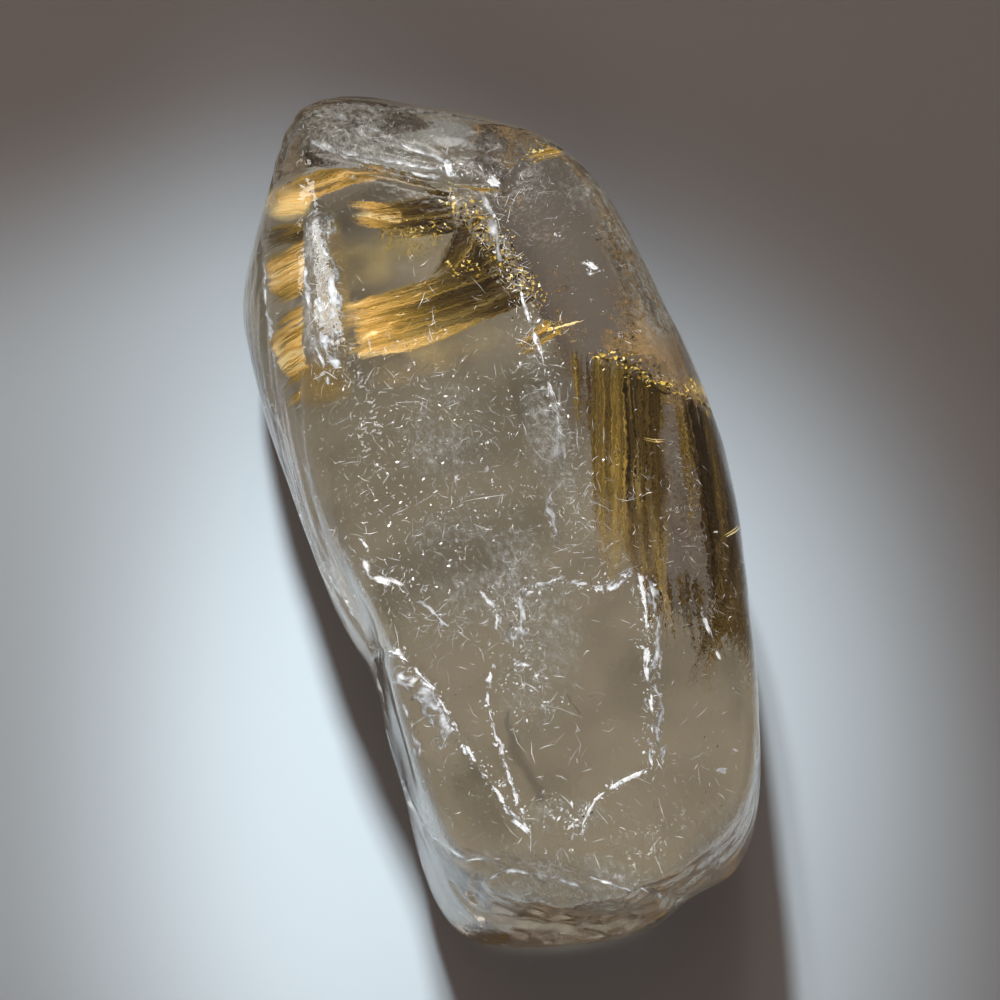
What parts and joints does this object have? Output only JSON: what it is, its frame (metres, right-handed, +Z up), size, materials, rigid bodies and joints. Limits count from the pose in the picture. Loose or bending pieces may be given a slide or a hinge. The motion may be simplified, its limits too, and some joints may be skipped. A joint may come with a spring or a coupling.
{
  "type": "rutilated quartz freeform",
  "caption": "Polished freeform of clear smoky quartz with sheaves of golden rutile needles inside, lying on a flat ground base.",
  "frame": {"origin": "on the surface that the stone lies on, under the centre of its bounding box", "axes": "+Y along the stone towards its bevelled far end, +Z up from its flat ground base"},
  "size_m": [0.037, 0.081, 0.034],
  "materials": {
    "clear_smoky_quartz": "polished, clear with a smoky brown tint",
    "golden_rutile": "glossy golden brown needles"
  },
  "bodies": {
    "root": {"quartz_stone": "clear_smoky_quartz", "rutile_fan": "golden_rutile", "rutile_curtain": "golden_rutile"}
  },
  "joints": []
}
